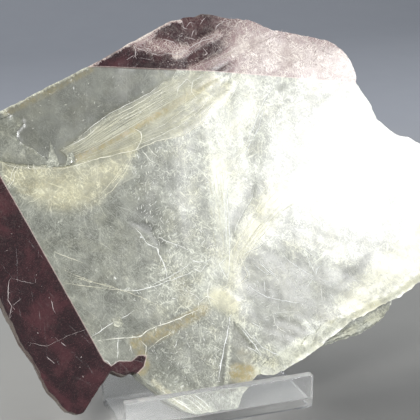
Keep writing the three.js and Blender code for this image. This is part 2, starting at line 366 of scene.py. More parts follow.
def face_marks(u, v):
    """Rise of the front and the amounts of haze, stain, clearness and cream."""
    rise = np.zeros_like(u)
    in_strip, in_lobe, in_top = (ease(inside_distance(u, v, np.array(shape)), -ZONE_SOFT, ZONE_SOFT)
                                 for shape in (STRIP_ZONE, LOBE, TOP_ZONE))
    haze = BODY_HAZE + BODY_HAZE_GAIN * ease(u, -18, 14)
    haze += in_strip * (STRIP_HAZE + STRIP_HAZE_GAIN * ease(v, 35, 62) - haze)
    haze += in_lobe * (LOBE_HAZE - haze)
    haze += in_top * (TOP_HAZE + TOP_HAZE_NEAR * ease(u, -8, 2) + TOP_HAZE_FAR * ease(u, 12, 30) - haze)
    haze += KNOT_HAZE * ease(np.hypot((u + 2) / 14, (v - 33) / 9), 1.2, 0.4) * (1 - in_strip)
    stain, clear, cream = np.zeros_like(u), np.zeros_like(u), np.zeros_like(u)
    for shape, step, soft, hazes, stains, clears, creams in PATCHES:
        depth = inside_distance(u, v, np.array(shape, float))
        crisp = ease(depth, -0.12 - max(0, soft - 0.4), 0.12 + soft * 0.6)
        broad = ease(depth, -soft, soft)
        rise += step * crisp
        haze += hazes * broad
        stain += stains * broad
        clear = np.maximum(clear, clears * broad)
        cream += creams * broad
    for line, half_width, amount, hazes in STAINS:
        gap, _ = line_distance(u, v, line)
        near = 1 - ease(gap, half_width * 0.4, half_width * 1.25)
        stain = np.maximum(stain, amount * near)
        haze += hazes * near
    for line, half_width, hazes, creams in FROSTS:
        gap, _ = line_distance(u, v, line)
        near = 1 - ease(gap, half_width * 0.3, half_width * 1.3)
        haze += hazes * near
        cream = np.maximum(cream, creams * near)
        clear *= 1 - near
    return (rise, *(np.clip(mark, 0, 1) for mark in (haze, stain, clear, cream)))


STRIATION = radians(27)    # how the striated sheet's folds run, from the u axis


def front_height(u, v, rise):
    """w of the front face: bowed, gently wavy, folded along the striae and broken at the rim."""
    bow = -0.35 * (((u - 8) / 75) ** 2 + ((v - 50) / 60) ** 2)
    waves = 0.12 * swell(u, v, 46, 3) + 0.03 * swell(u, v, 11, 4) + 0.007 * swell(u, v, 3.2, 6, 14)
    along = u * cos(STRIATION) + v * sin(STRIATION)
    across = -u * sin(STRIATION) + v * cos(STRIATION)
    striated = 1 - ease(line_distance(u, v, OCHRE_EDGE)[0], 2, 9)
    folds = (0.003 + 0.014 * striated) * swell(along * 0.12, across, 1.7, 5)
    rim_gap, at = line_distance(u, v, LOWER_RIM)
    broken = (1 - ease(rim_gap, 0.5, 4.5)) * ease(at, 0.02, 0.15)
    broken *= 0.025 * swell(u, v, 2.4, 7, 14) - 0.12 * (1 - ease(rim_gap, 0, 1.6))
    return bow + waves + folds + rise + broken


def back_height(u, v):
    """w of the back face, which keeps behind the plane that rests on the easel's crest."""
    return -THICKNESS + 0.12 + 0.1 * swell(u, v, 38, 8) + 0.15 * ease(swell(u, v, 30, 9), 0.1, 0.13)


# ---------------------------------------------------------------------------
# Meshes
# ---------------------------------------------------------------------------

MARKS = ("haze", "stain", "clear", "cream", "rim")


class Builder:
    """Collects closed bodies in (u, v, w) with the marks that the material reads."""

    def __init__(self):
        self.points, self.faces, self.marks = [], [], {name: [] for name in MARKS}
        self.count = 0

    def add(self, points, faces, **marks):
        self.points.append(np.asarray(points, float))
        self.faces += [tuple(i + self.count for i in face) for face in faces]
        for name in MARKS:
            value = marks.get(name, 0.0)
            self.marks[name].append(np.broadcast_to(np.asarray(value, float), (len(points),)))
        self.count += len(points)

    def finish(self, name, material, smooth=30, on_face=False):
        """Makes the mesh; with on_face, w counts from the crystal's front instead of from 0."""
        plate = np.vstack(self.points)
        u, v = plate[:, 0], plate[:, 1]
        if on_face:
            rise, *_ = face_marks(u, v)
            plate[:, 2] += front_height(u, v, rise)
        mesh = bpy.data.meshes.new(name)
        mesh.from_pydata(to_world(plate).tolist(), [], self.faces)
        marks = {mark: np.concatenate(values) for mark, values in self.marks.items()}
        marks["zone"] = zone_distance(u, v)
        for mark, values in marks.items():
            layer = mesh.attributes.new(mark, "FLOAT", "POINT")
            layer.data.foreach_set("value", values.astype(np.float32))
        layer = mesh.attributes.new("plate", "FLOAT_VECTOR", "POINT")
        layer.data.foreach_set("vector", plate.astype(np.float32).ravel())
        mesh.shade_smooth()
        mesh.set_sharp_from_angle(angle=radians(smooth))
        mesh.materials.append(material)
        return placed(name, mesh)


def filled(outline, inner):
    """Triangles over a closed outline, through its points and the inner ones."""
    points = [Vector(p) for p in np.vstack([outline, inner])]
    verts, _, faces, _, _, _ = delaunay_2d_cdt(points, [], [list(range(len(outline)))], 1, 1e-7)
    if len(verts) != len(points):
        raise ValueError("an outline crosses itself")
    faces = [tuple(face) for face in faces]
    (ax, ay), (bx, by), (cx, cy) = (verts[i] for i in faces[0])
    if (bx - ax) * (cy - ay) - (by - ay) * (cx - ax) < 0:
        faces = [face[::-1] for face in faces]
    return faces


JITTER = 0.22          # how far a grid point strays, as a share of the pitch
CLEAR_CELL = 0.3       # grid points this close to given points are left out, mm


def spread(outline, pitch, margin, seed, keep_clear=()):
    """Jittered points inside an outline, clear of it and of the given points."""
    rng = np.random.default_rng(seed)
    low, high = outline.min(0), outline.max(0)
    rows = np.arange(low[1], high[1], pitch * sin(pi / 3))
    grid = []
    for i, v in enumerate(rows):
        u = np.arange(low[0] + (i % 2) * pitch / 2, high[0], pitch)
        grid.append(np.column_stack([u, np.full_like(u, v)]))
    grid = np.vstack(grid)
    grid += rng.uniform(-JITTER, JITTER, grid.shape) * pitch
    coarse = outline[::max(1, int(0.5 * margin / RIM_STEP))] if len(outline) > 400 else outline
    depth = inside_distance(grid[:, 0], grid[:, 1], coarse)
    grid = grid[depth > margin]
    if len(keep_clear):
        cells = {(round(a / CLEAR_CELL), round(b / CLEAR_CELL)) for a, b in keep_clear}
        away = [not any((round(a / CLEAR_CELL) + i, round(b / CLEAR_CELL) + j) in cells
                        for i in (-1, 0, 1) for j in (-1, 0, 1)) for a, b in grid]
        grid = grid[np.array(away)]
    return grid


STEP_PITCH = 0.45      # spacing of the points along a step in the face, mm
STEP_SIDE = 0.14       # how far to either side of the step they lie
STEP_FROM_RIM = 0.5
STEP_CELL = 0.12       # of two points closer than this, one is kept
CRISP_RISE, CRISP_SOFT = 0.1, 0.6    # a step at least this high and no softer than this


def step_points(outline):
    """Pairs of points just either side of the steps in the face, so that they stay crisp."""
    pairs = []
    for shape, step, soft, *_ in PATCHES:
        if abs(step) < CRISP_RISE or soft > CRISP_SOFT:
            continue
        line, _ = resample(shape, STEP_PITCH, closed=True)
        normals = side_normals(line, True)
        pairs += [line + normals * STEP_SIDE, line - normals * STEP_SIDE]
    points = np.vstack(pairs)
    depth = inside_distance(points[:, 0], points[:, 1], outline)
    points = points[depth > STEP_FROM_RIM]
    kept, cells = [], set()
    for a, b in points:
        cell = (round(a / STEP_CELL), round(b / STEP_CELL))
        if cell not in cells:
            cells.add(cell)
            kept.append((a, b))
    return np.array(kept)


def bounded_foot(uvw):
    """The foot is flat on the ledge: nothing is lower than the footing."""
    uvw[:, 1] = np.maximum(uvw[:, 1], -uvw[:, 2] * tan(LEAN))
    return uvw


LAMINAE = 12           # books of sheets that show round the rim
FRONT_PITCH = 0.6      # spacing of the front face's points, mm
BACK_PITCH = 1.0
SETBACK, DEEPEST_SETBACK = 0.30, 0.65      # of a book's edge behind the rim, mm
BACK_HAZE, BACK_CLEAR, BACK_STAIN = 0.28, 0.2, 0.25


def build_body(material):
    """The whole crystal: rings of book edges round the rim, closed by the front and the back."""
    builder = Builder()
    inward = -side_normals(RIM, True)
    if inside_distance(*(RIM[:1] + inward[:1]).T, RIM)[0] < 0:
        inward = -inward
    at = np.arange(len(RIM)) * RIM_STEP
    rng = np.random.default_rng(21)
    cuts = np.concatenate([[0], np.cumsum(rng.uniform(0.5, 1.5, LAMINAE))])
    cuts /= cuts[-1]
    rings = []
    for i in range(LAMINAE):
        setback = (SETBACK + 0.22 * wander(at, 5.0, 30 + i, at[-1])
                   + 0.10 * wander(at, 1.3, 60 + i, at[-1]))
        ring = RIM + inward * np.clip(setback, 0, DEEPEST_SETBACK)[:, None]
        rise, *_ = face_marks(ring[:, 0], ring[:, 1])
        front = front_height(ring[:, 0], ring[:, 1], rise)
        back = back_height(ring[:, 0], ring[:, 1])
        for share in (cuts[i], cuts[i + 1]):
            rings.append(bounded_foot(np.column_stack([ring, front + (back - front) * share])))
    steps = step_points(rings[0][:, :2])
    inner = spread(rings[0][:, :2], FRONT_PITCH, 0.35, 1, steps)
    inner = np.vstack([steps, inner])
    rise, *_ = face_marks(inner[:, 0], inner[:, 1])
    front = np.column_stack([inner, front_height(inner[:, 0], inner[:, 1], rise)])
    outline_back = rings[-1][:, :2]
    inner_back = spread(outline_back, BACK_PITCH, 0.6, 2)
    back = np.column_stack([inner_back, back_height(inner_back[:, 0], inner_back[:, 1])])

    n = len(RIM)
    points = np.vstack([*rings, front, back])
    first_front, first_back = n * len(rings), n * len(rings) + len(front)

    def renumbered(face, ring_start, inner_start):
        return tuple(ring_start + i if i < n else inner_start + i - n for i in face)

    faces = [renumbered(face, 0, first_front) for face in filled(rings[0][:, :2], inner)]
    last = n * (len(rings) - 1)
    faces += [renumbered(face, last, first_back)[::-1] for face in filled(outline_back, inner_back)]
    clockwise = np.sum(RIM[:, 0] * np.roll(RIM[:, 1], -1) - np.roll(RIM[:, 0], -1) * RIM[:, 1]) < 0
    for r in range(len(rings) - 1):
        for j in range(n):
            k = (j + 1) % n
            quad = (r * n + j, r * n + k, (r + 1) * n + k, (r + 1) * n + j)
            faces.append(quad if clockwise else quad[::-1])
    u, v = points[:, 0], points[:, 1]
    _, haze, stain, clear, cream = face_marks(u, v)
    rim = np.zeros(len(points))
    rim[n:first_front] = 1
    backs = np.zeros(len(points), bool)
    backs[first_back:] = True
    backs[last:last + n] = True
    haze = np.where(backs, BACK_HAZE + 0.06 * swell(u, v, 18, 14), haze)
    stain = np.where(backs, BACK_STAIN * ease(swell(u, v, 22, 15), 0.2, 0.8), stain)
    clear = np.where(backs, BACK_CLEAR, clear)
    builder.add(points, faces, haze=haze, stain=stain, clear=clear, cream=cream, rim=rim)
    return builder.finish("mica_crystal_body", material)


# ---------------------------------------------------------------------------
# Thin sheets that stand off the face
# ---------------------------------------------------------------------------

SHEET_STEP = 0.4       # spacing of the points round a thin sheet, mm
SHEET_PITCH = 1.0      # and over it
CURL_WIDTH = 2.0       # how far in from its edge a sheet curls, mm
FLAKE_TILT = 0.12      # how steeply the loose flakes fall away below the face
TILT_ALONG = 0.28      # share of that tilt that runs along u


def add_sheet(builder, outline, seed, lift, thickness, jag, curl=0.0, tilt=0.0, **marks):
    """One thin sheet with a torn edge that may curl up, `lift` above the face."""
    edge, at = resample(outline, SHEET_STEP, closed=True)
    loop = at[-1] + SHEET_STEP
    torn = wander(at, 1.1, seed, loop) + 0.7 * wander(at, 0.5, seed + 1, loop)
    edge = edge + side_normals(edge, True) * (torn * jag)[:, None]
    inner = spread(edge, SHEET_PITCH, 0.35, seed + 2)
    flat = np.vstack([edge, inner])
    u, v = flat[:, 0], flat[:, 1]
    top = lift + thickness + curl * (1 - ease(inside_distance(u, v, edge), 0, CURL_WIDTH))
    top = top + tilt * (v - v.max() - TILT_ALONG * (u - u.max()))
    n, total = len(edge), len(flat)
    cover = filled(edge, inner)
    faces = cover + [tuple(i + total for i in face[::-1]) for face in cover]
    area = np.sum(edge[:, 0] * np.roll(edge[:, 1], -1) - np.roll(edge[:, 0], -1) * edge[:, 1])
    for j in range(n):
        k = (j + 1) % n
        quad = (j, j + total, k + total, k) if area > 0 else (k, k + total, j + total, j)
        faces.append(quad)
    points = np.vstack([np.column_stack([flat, top]), np.column_stack([flat, top - thickness])])
    builder.add(points, faces, **marks)


# Each sheet: outline, lift (mm), raggedness, curl, haze, cream, clearness.
TORN_SHEETS = [
    ([(-55, 73.5), (-48, 78.2), (-41.5, 80.9), *VEIL_TEAR[1:], (-33.6, 67.4), (-36.3, 67.4),
      (-41.8, 68.3), (-50, 70.5)], 0.05, 0.22, 0.05, 0.22, 0.05, 0.3),
    ([(-34.6, 66.6), (-33.4, 70.6), (-32.6, 73.2), (-31.7, 70), (-31, 67), (-29.6, 66.8), (-28.7, 69.3),
      (-27.4, 70.2), (-27.2, 67.4), (-30, 66.4)], 0.05, 0.2, 0.1, 0.35, 0.1, 0.2),
    ([(-23.8, 26.6), (-21.6, 26.9), (-20.9, 24.7), (-22.4, 23.9), (-23.6, 24.8)],
     0.05, 0.1, 0.1, 0.40, 0.3, 0.0),
]
# Flakes that have sprung away from the lower right edge: outline, level (mm, negative is
# behind the face), haze.
LOOSE_FLAKES = [
    ([(29.8, 13.4), (34, 16.4), (42, 19.4), (54, 22.8), (53.6, 20.4), (50.9, 17.4), (47.1, 15.5),
      (43.3, 13.9), (37, 13), (32, 12)], -1.2, 0.5),
    ([(32, 12.9), (38, 14.6), (43, 15.8), (48, 17.4), (50.2, 17.4), (47, 15.9), (43, 14.6),
      (37, 13.5)], -1.0, 0.75),
    ([(34, 14.2), (38.5, 15.3), (44.5, 16.9), (44, 16.4), (38.5, 14.7)], -0.8, 0.6),
]
LEAF_RIM = LOWER_RIM[:5]   # the stretch of broken rim that has leaves
LEAVES, LEAF_SEED = 44, 61


def leaf_outlines(line, count, seed):
    """Torn leaves that overlap along a broken rim: each one's outline and its level."""
    rng = np.random.default_rng(seed)
    rim, _ = resample(line, 0.5)
    inward = side_normals(rim)
    leaves = []
    for _ in range(count):
        length = rng.integers(6, 24)
        start = rng.integers(0, len(rim) - length - 1)
        run, across = rim[start:start + length:2], inward[start:start + length:2]
        arch = np.sin(np.linspace(0.12, 0.92, len(run)) * pi)
        reach = arch * rng.uniform(0.2, 0.9) + rng.uniform(-0.1, 0.1, len(run))
        outer = run - across * reach[:, None]
        inner = run + across * (arch * rng.uniform(1.2, 3.4) + 0.15)[:, None]
        leaves.append((np.vstack([outer, inner[::-1]]), rng.uniform(-0.1, 0.35)))
    return leaves


def build_sheets(material):
    """The leaves along the broken rim, the veil and tabs, and the loose flakes."""
    builder = Builder()
    for i, (outline, level) in enumerate(leaf_outlines(LEAF_RIM, LEAVES, LEAF_SEED)):
        add_sheet(builder, outline, 400 + 5 * i, level, thickness=0.12, jag=0.12, curl=0.06,
                  haze=0.8, cream=0.2)
    for i, (outline, lift, jag, curl, haze, cream, clear) in enumerate(TORN_SHEETS):
        add_sheet(builder, outline, 100 + 5 * i, lift, thickness=0.10, jag=jag, curl=curl,
                  haze=haze, cream=cream, clear=clear)
    for i, (outline, level, haze) in enumerate(LOOSE_FLAKES):
        add_sheet(builder, outline, 200 + 5 * i, level, thickness=0.15, jag=0.2, tilt=FLAKE_TILT,
                  haze=haze, clear=0.1)
    return builder.finish("mica_crystal_sheets", material, on_face=True)


# ---------------------------------------------------------------------------
# Creases, cracks and flecks: fine bright slivers raised on the face
# ---------------------------------------------------------------------------

SLIVER_STEP = 0.35     # spacing of the points along a sliver, mm
SLIVER_BASE, SLIVER_ROOT = 0.01, -0.04     # its sides' height over the face, and its underside's


def add_sliver(builder, line, width, seed, wobble=0.10, height=0.05, cream=0.0, haze=1.0):
    """A thin ridge along a line, pointed at both ends, with a crest along its middle."""
    centre, at = resample(line, SLIVER_STEP)
    m = len(centre) - 2
    if m < 1:
        return
    taper = np.minimum(1, np.minimum(at, at[-1] - at) / max(0.25 * at[-1], 0.2))
    normals = side_normals(centre)
    sway = wander(at, 1.4, seed) + 0.6 * wander(at, 0.6, seed + 1)
    centre = centre + normals * (sway * wobble * taper)[:, None]
    half = 0.5 * width * (0.75 + 0.4 * wander(at, 0.9, seed + 2)) * taper
    inner = slice(1, -1)
    base = np.full(m + 2, SLIVER_BASE)
    left = np.column_stack([centre + normals * half[:, None], base])[inner]
    right = np.column_stack([centre - normals * half[:, None], base])[inner]
    crest = np.column_stack([centre, SLIVER_BASE + height * taper])
    under = np.column_stack([centre, np.full(m + 2, SLIVER_ROOT)])[inner]
    start, end = 0, m + 1
    points = np.vstack([crest, left, right, under])
    rows = [range(m + 2, 2 * m + 2), range(1, m + 1), range(2 * m + 2, 3 * m + 2),
            range(3 * m + 2, 4 * m + 2)]
    faces = []
    for a, b in zip(rows, rows[1:] + rows[:1]):
        faces.append((start, b[0], a[0]))
        faces += [(a[j], b[j], b[j + 1], a[j + 1]) for j in range(m - 1)]
        faces.append((end, a[-1], b[-1]))
    builder.add(points, faces, haze=haze, cream=cream)


# Each crease: line, width (mm), cream.
CREASES = [
    (RIDGE_1[1:], 0.24, 0.2), (RIDGE_2, 0.28, 0.6), (RIDGE_3, 0.26, 0.4), (RIDGE_4[:5], 0.14, 0.8),
    ([(-13.4, 67), (-17.4, 62.2), (-22.6, 57.6)], 0.12, 0.8),
    ([(-12, 67.6), (-15, 63.6), (-19, 60.4)], 0.12, 0.8),
    ([(-46, 68.8), (-41.5, 67.2), (-36.5, 66.4), (-31, 65.6)], 0.14, 0.6),
    (VEIL_TEAR, 0.22, 0.1),
    ([(-41.2, 68.2), (-42.9, 66), (-43.4, 64), (-45, 62.4)], 0.18, 0.4),
    ([(-42, 68.2), (-43.6, 66.2), (-44.2, 63.9), (-45.3, 62.8)], 0.14, 0.4),
    ([(-38.9, 68.5), (-39.4, 66.8)], 0.2, 0.3), ([(-37.6, 68.4), (-37.9, 66.4)], 0.2, 0.3),
    ([(-28.3, 71.4), (-23, 73.5), (-18.9, 76.5)], 0.2, 0.3),
    ([(-17, 77.6), (-9.6, 80.4), (-3.3, 83.5), (4, 86.6)], 0.16, 0.4),
    ([(-16.4, 76.8), (-9, 79.4), (-2, 83), (6, 86.6)], 0.14, 0.4),
    ([(-15.6, 76), (-8, 78.9), (-1, 82.2)], 0.14, 0.4),
    ([(-12, 69.6), (-5, 71.6), (3, 74.6), (9, 78.6), (12.5, 82)], 0.2, 0.4),
    ([(-9, 72.6), (-2, 75), (4, 78.4), (8.6, 82.4)], 0.16, 0.4),
    ([(2.2, 81.4), (3.4, 84.6), (6.2, 86.4), (8.2, 84.4)], 0.2, 0.3),
    ([(8.2, 80.4), (6.6, 83.2), (7.8, 86), (11.8, 87.4)], 0.2, 0.3),
    (RIDGE_5, 0.34, 0.1),
    ([(-9, 46.2), (-6.4, 44.2), (-2.6, 42.6), (0.2, 40.6)], 0.22, 0.1),
    ([(-9.2, 68.7), (-7.5, 65.9), (-6, 64.9)], 0.24, 0.3),
    ([(-7.6, 70.2), (-6.4, 67.6), (-4.6, 66.2)], 0.2, 0.3),
    ([(-13.4, 46.3), (-12.4, 46)], 0.5, 0.0), ([(-21.5, 37), (-21, 36.2)], 0.5, 0.1),
    ([(-36.8, 45.6), (-33, 43.6), (-28.5, 41.3)], 0.12, 0.7),
    ([(-35, 37.3), (-29.3, 35.6), (-23.1, 34), (-16.8, 32.7)], 0.14, 0.8),
    ([(-35, 40.8), (-27.9, 36.7), (-22, 34.2), (-15.7, 31.3), (-8.5, 26.3)], 0.13, 0.8),
    ([(-33.5, 39), (-27, 36.2), (-21, 34.2)], 0.10, 0.8),
    ([(-23.1, 34.1), (-16.5, 32.8), (-12, 33.2), (-8.4, 34), (-1.8, 35.4), (2, 37)], 0.26, 0.1),
    ([(-14, 33.2), (-9, 34.6), (-4, 36.4), (0, 38.6)], 0.2, 0.1),
    ([(-1, 39.3), (0.5, 38.1), (2.9, 37.8), (5.2, 38.6)], 0.3, 0.1),
    ([(-2.9, 30.7), (-0.7, 29.4), (-0.1, 28.3)], 0.3, 0.3),
    ([(-30, 22.6), (-24.5, 25.1), (-19.5, 27), (-17.5, 28)], 0.24, 0.1),
    (RIDGE_6, 0.34, 0.4),
    ([(-24, 16.2), (-23.3, 19), (-22.8, 22.3)], 0.2, 0.1), ([(-19.9, 17), (-20.2, 19.8)], 0.16, 0.1),
    ([(-16.6, 16.3), (-16, 18.6), (-17.4, 20.5)], 0.26, 0.5),
    ([(-16, 17.5), (-13, 19.3), (-8.5, 21.2)], 0.16, 0.6),
    (SPINE, 0.26, 0.0), ([(12, 62), (11, 53), (10, 43)], 0.2, 0.0),
    ([(11.4, 58), (10.4, 49), (9.4, 41)], 0.2, 0.0),
    ([(24.4, 57.3), (18.7, 49.3), (11.5, 40)], 0.3, 0.5), ([(27, 61), (21, 52), (15, 45)], 0.24, 0.3),
    ([(18.6, 66), (26.5, 78.6), (33, 86)], 0.3, 0.0), ([(16, 61.6), (24, 72), (27, 79)], 0.26, 0.0),
    ([(15.2, 77.6), (20.5, 84.5), (22.4, 88)], 0.3, 0.2),
    ([(12.7, 31.1), (15.3, 28.8), (18.2, 26.6), (22.1, 25.4), (24.9, 24.4), (28.9, 23.6)], 0.30, 0.0),
    ([(24.2, 37.3), (27.4, 34), (32.5, 30.2)], 0.32, 0.0),
    ([(32.6, 30.5), (33.6, 32.3), (36, 34)], 0.26, 0.0),
    ([(32.5, 30.2), (30.9, 29.1), (29.7, 28)], 0.2, 0.0),
    ([(32.8, 30.2), (35.3, 28.7), (38.7, 28.1)], 0.24, 0.0),
    ([(30.7, 37.2), (31.9, 34.1), (32.8, 30.8)], 0.2, 0.0),
    ([(30.6, 38.5), (32.6, 36.3), (34.5, 35.1)], 0.2, 0.0),
    ([(17.3, 36.5), (19.5, 33.7), (21.5, 31.6), (22.3, 30.2)], 0.26, 0.0),
    ([(18.8, 35.4), (20.4, 33.3), (22.2, 31.8)], 0.22, 0.0),
    ([(16.1, 35.7), (18.1, 33.6), (20.2, 32)], 0.2, 0.0),
    ([(18.2, 31.3), (18, 27.9)], 0.2, 0.0),
    ([(13, 35.1), (14.5, 34), (14.2, 32.1), (12.8, 31.7)], 0.16, 0.1),
    ([(19.1, 22), (19.3, 19.5), (20.4, 17.8), (22.2, 16.7)], 0.24, 0.2),
    ([(17.8, 22.1), (21.5, 22.4), (26.5, 21.7), (28.3, 20.2)], 0.18, 0.2),
    ([(12.6, 21), (14.6, 19.5), (15.1, 18.2)], 0.22, 0.1),
    ([(30.1, 15.2), (28.7, 17), (27.9, 18.3), (26.7, 19.1)], 0.26, 0.0),
    ([(30.9, 16), (30.3, 18)], 0.2, 0.0),
    ([(12.8, 38.5), (18.2, 40), (23.5, 43.1)], 0.34, 0.2),
    ([(8.2, 31.9), (9.9, 38.8), (13.5, 43.3), (19, 47.6), (24.5, 53.3)], 0.20, 0.6),
    ([(9.4, 31.5), (11.6, 37.6), (15.6, 42), (21, 46), (27.5, 52)], 0.16, 0.6),
    ([(10.6, 31), (12.8, 36.4), (18, 41.6), (24, 46.4)], 0.22, 0.5),
    ([(11.8, 43.7), (13.6, 47.4), (16, 50.2), (18.6, 53.2), (19.8, 56.4)], 0.26, 0.1),
    ([(33.8, 28.1), (33.4, 24)], 0.18, 0.1), ([(35.2, 24.4), (35.8, 21.8)], 0.16, 0.1),
    ([(9.4, 19.9), (11, 17.5), (12.3, 15.4), (14.3, 11.7)], 0.30, 0.0),
    ([(10.1, 20.1), (11.9, 17.3), (13.3, 15.6)], 0.22, 0.0),
    ([(12.6, 17.3), (14.4, 14.2), (17.3, 12.2), (19.5, 11)], 0.32, 0.0),
    ([(10.5, 15), (12.3, 13.6), (14.2, 11.6)], 0.26, 0.1),
    ([(12.4, 8.6), (15.1, 8.8), (19.3, 10.1)], 0.3, 0.1),
    ([(7.4, 23.4), (6.9, 21.7), (3.2, 12.6), (1.3, 7)], 0.40, 0.0),
    ([(8.4, 31.8), (6.6, 36.8), (9.6, 38.8)], 0.26, 0.1),
    ([(2.5, 26.6), (2.2, 30), (3.6, 33.6)], 0.3, 0.3),
    ([(-1.4, 37.6), (1.2, 35.4), (3.8, 37.8)], 0.22, 0.1),
    ([(10, 30), (14, 33), (12.4, 39)], 0.3, 0.5), ([(5, 27), (2, 29), (-1.4, 27.4)], 0.22, 0.3),
    ([(-14.2, 7.4), (-10.4, 4.2), (-7, 1.4)], 0.36, 0.4), ([(-10.6, 4.8), (-7.4, 2.6)], 0.3, 0.2),
    ([(-8.2, 5), (-5.6, 2.4), (-4, 0.5)], 0.26, 0.3), ([(-7.2, 5.4), (-4.8, 3), (-3, 0.9)], 0.22, 0.1),
    ([(-6.4, 5.8), (-4, 3.6), (-1.8, 1)], 0.22, 0.1), ([(-9.6, 3.8), (-7.6, 1.8), (-6, 0.5)], 0.22, 0.3),
    ([(-46.9, 40.5), (-48.1, 39.2), (-49, 34.6), (-48.2, 33), (-49.4, 29.7)], 0.15, 0.0),
    ([(-47.4, 39.8), (-44.5, 38.6), (-41.8, 37.8)], 0.10, 0.0), ([(-48, 33), (-45.6, 34.6)], 0.10, 0.0),
    ([(-46.3, 23.9), (-41, 22), (-35.5, 23.8), (-30, 25)], 0.08, 0.2),
    ([(-38.4, 33.4), (-38, 31), (-37.6, 29.6)], 0.16, 0.0), ([(-37.4, 22.6), (-36.2, 21.2)], 0.18, 0.0),
    ([(-41.4, 19.6), (-39.6, 17.4)], 0.2, 0.0),
    ([(-27.3, 16.6), (-26.4, 16.2), (-25.6, 14.9)], 0.22, 0.1),
    ([(-25.6, 15), (-23.6, 16), (-20.5, 15.6)], 0.14, 0.2),
    ([(22, 93.4), (30, 95.6), (37.5, 98)], 0.26, 0.4), ([(7, 89.2), (14, 91.2), (22, 93.8)], 0.26, 0.5),
    ([(6.2, 88.9), (11.4, 91.3), (18, 94.3), (21.2, 96.3)], 0.16, 0.6),
    ([(10.9, 88.7), (15, 90.1), (19.6, 92.6), (21.3, 94.7)], 0.2, 0.6),
    ([(11.7, 89.4), (17.9, 92.1), (22.5, 94)], 0.16, 0.6),
    # The frost net over the tip of the top zone.
    ([(-7.4, 97), (-5.5, 95.7), (-3.7, 94.9), (-2.9, 94.1)], 0.22, 0.0),
    ([(-7, 97), (-6.6, 95.4), (-7, 93.9), (-6.6, 92.8)], 0.2, 0.0),
    ([(-7, 94.1), (-8.6, 93.4), (-9.6, 92.9)], 0.14, 0.0),
    ([(-5.9, 96.9), (-4.2, 95.9), (-2.4, 95.3)], 0.2, 0.0),
    ([(-6.2, 93.3), (-4.1, 92.8), (-2.9, 92.4), (-2.1, 93.3)], 0.12, 0.0),
    ([(-3.2, 94.7), (-0.8, 93.6), (1.7, 93.8), (3.6, 93.8)], 0.2, 0.0),
    ([(4.1, 93.1), (7.5, 94.4), (9.9, 95.8), (12.6, 96.9), (14.9, 97), (17.5, 98.8)], 0.26, 0.0),
    ([(10.9, 95.8), (12.4, 97.5), (15.1, 98.1), (17, 98.2)], 0.22, 0.0),
    ([(16.2, 99), (16.9, 100.4), (18.9, 101.5), (21.2, 102)], 0.26, 0.0),
    ([(7.5, 102.6), (7.5, 100.7), (8.7, 100.1)], 0.2, 0.0),
    ([(8.2, 100.6), (9.5, 102), (10.9, 101.6)], 0.18, 0.0),
    ([(7.4, 98.2), (9.3, 97.6), (10.7, 96.9)], 0.2, 0.0), ([(7.9, 96.9), (8.2, 95)], 0.18, 0.0),
    ([(9.3, 97.7), (10, 99.3), (10.6, 99.9)], 0.16, 0.0),
    ([(1.1, 98), (4.1, 96.9), (5.6, 94.9)], 0.18, 0.0),
    ([(1.1, 94), (4.8, 93.4), (7, 93.5)], 0.18, 0.0), ([(3.7, 96.3), (2.5, 94.8)], 0.16, 0.0),
    ([(12.1, 101), (13.3, 102.5), (14.3, 103.1)], 0.16, 0.0),
    ([(12, 94.7), (13, 93.1), (11.6, 92.6)], 0.22, 0.1),
]

# Each field of flecks: outline, how many, the longest (mm), their main direction (degrees) and
# its spread.
FLECK_FIELDS = [
    ([(-12, 67), (6, 72), (13, 62), (11, 45), (2, 36), (-8, 40), (-14, 56)], 820, 1.5, 60, 70),
    ([(-38, 54), (-12, 60), (-8, 38), (-16, 30), (-34, 38)], 120, 0.7, 30, 90),
    ([(-8, 38), (8, 40), (7, 30), (0, 26), (-18, 30)], 340, 1.3, 110, 70),
    ([(-14, 19), (0, 24), (7, 20), (2, 4), (-8, 2), (-16, 10)], 380, 1.3, 60, 80),
    ([(12, 38), (46, 34), (58, 30), (50, 22), (26, 12), (12, 20)], 420, 1.8, 140, 60),
    ([(-7, 94), (-6, 97.6), (0, 100.6), (10, 99), (18, 98.6), (12, 93), (0, 93)], 240, 1.0, 30, 90),
    ([(15, 90), (20, 102), (26, 101), (34, 98), (48, 94), (52, 86), (30, 88)], 420, 1.6, 40, 90),
    ([(-2, 92), (0, 90.4), (12, 89), (18, 93), (12, 93)], 120, 0.8, 60, 90),
    ([(-17, 92.6), (-8, 96.4), (-6, 92.2)], 30, 0.5, 20, 90),
    ([(-40, 80), (-36, 71), (-29, 69), (-18, 78.4), (0, 86.4), (-16, 91.4), (-30, 87)], 80, 1.0, 25, 60),
    ([(14, 62), (20, 88), (30, 90), (24, 64)], 160, 1.8, 55, 35),
    ([(-28, 66.6), (-24, 71), (-12, 78), (-4, 82), (-2, 80), (-14, 74)], 60, 1.0, 28, 30),
    ([(-44, 56), (-36, 38), (-30, 18), (-36, 8), (-46, 24), (-50, 36), (-52, 50)], 90, 0.6, 20, 90),
    ([(16, 8), (60, 24), (57, 26), (15, 11)], 260, 0.9, 25, 80),
]

# Sheets of parallel fibres: the two lines they run between, how many, the longest as a share of
# those lines, the widest (mm).
STRIAE = [
    (RIDGE_1, OCHRE_EDGE, 130, 0.55, 0.13), (OCHRE_EDGE, RIDGE_2[4:], 60, 0.4, 0.11),
    ([(9, 32), (12, 42), (22, 53), (30, 58)], [(11.5, 30), (16, 39), (26, 47), (36, 52)], 30, 0.4, 0.16),
    ([(12.9, 62.5), (11.8, 53.2), (10.6, 42.7), (9, 35)],
     [(5, 62), (5.6, 52), (6, 42), (6.4, 35)], 26, 0.4, 0.16),
]


STRIA_POINTS = 40      # points along each side of a sheet of fibres
SPLINTER_EVERY = 2.6   # one short splinter beside a crease for this length of it, mm


